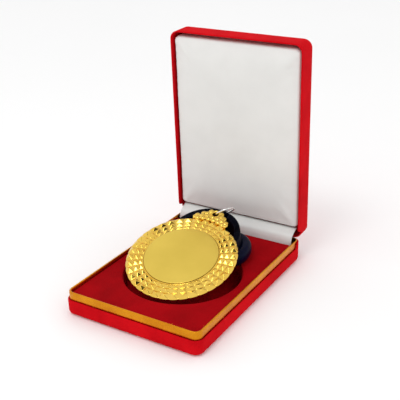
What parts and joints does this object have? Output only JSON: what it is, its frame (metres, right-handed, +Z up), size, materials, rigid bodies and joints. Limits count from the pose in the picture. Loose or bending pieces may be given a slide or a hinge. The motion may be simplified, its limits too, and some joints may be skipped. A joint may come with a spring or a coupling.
{
  "type": "medal",
  "caption": "Boxed award medal: round faceted gold medal with a crown eye, jump ring and rolled ribbon, in a hinged velvet-covered case with a padded satin lid lining",
  "frame": {"origin": "centre of the flat underside of the case", "axes": "+Z up, +Y towards the hinge at the back, +X to the right seen from the front"},
  "size_m": [0.1, 0.1532, 0.1566],
  "materials": {
    "velvet": "crushed red velvet, short pile",
    "tinplate": "plain tinplate",
    "gold_foil": "gold foil over a moulded collar, slightly crinkled",
    "foam": "open-cell foam",
    "card": "grey card",
    "satin": "white satin",
    "hinge_steel": "bright pressed steel",
    "gold_plate": "polished gold plate",
    "gold_satin": "satin gold plate",
    "ring_nickel": "bright nickel-plated wire",
    "ribbon": "navy satin ribbon"
  },
  "bodies": {
    "case_base": {"base_velvet_cover": "velvet", "base_shell": "tinplate", "gold_collar": "gold_foil", "pocket_floor_card": "velvet", "pad_foam": "foam", "pad_velvet": "velvet", "hinge_base_leaf_left": "hinge_steel", "hinge_base_leaf_right": "hinge_steel", "hinge_pin_left": "hinge_steel", "hinge_pin_right": "hinge_steel", "hinge_spring_left": "hinge_steel", "hinge_spring_right": "hinge_steel", "hinge_satin_strip": "satin"},
    "case_lid": {"lid_velvet_cover": "velvet", "lid_shell": "tinplate", "lid_board": "card", "lid_liner": "satin", "hinge_lid_leaf_left": "hinge_steel", "hinge_lid_leaf_right": "hinge_steel"},
    "ribbon": {"ribbon_coil": "ribbon", "ribbon_side_loop": "ribbon"},
    "medal": {"medal_body": "gold_plate", "medal_centre_disc": "gold_satin"},
    "ring": {"jump_ring": "ring_nickel"}
  },
  "joints": [
    {"name": "lid_hinge", "type": "hinge", "parent": "case_base", "child": "case_lid", "pos_m": [0, 0.0702, 0.0157], "axis": [1, 0, 0], "range_deg": [0, 88], "deforming": ["hinge_satin_strip", "lid_liner"]},
    {"name": "medal_set_lift", "type": "slide", "parent": "case_base", "child": "ribbon", "axis": [0, 0, 1], "range_m": [0, 0.06]},
    {"name": "medal_tilt", "type": "hinge", "parent": "ribbon", "child": "medal", "pos_m": [0, -0.054, 0.02], "axis": [1, 0, 0], "range_deg": [-18, 0], "deforming": ["ribbon_coil", "ribbon_side_loop"]},
    {"name": "ring_swing", "type": "hinge", "parent": "medal", "child": "ring", "pos_m": [0.00178, 0.03238, 0.03909], "axis": [0.0419, -0.3087, 0.9502], "range_deg": [0, 35]}
  ],
  "couplings": [
    {"joint": "medal_tilt", "follows": "lid_hinge", "ratio": -0.2045}
  ]
}
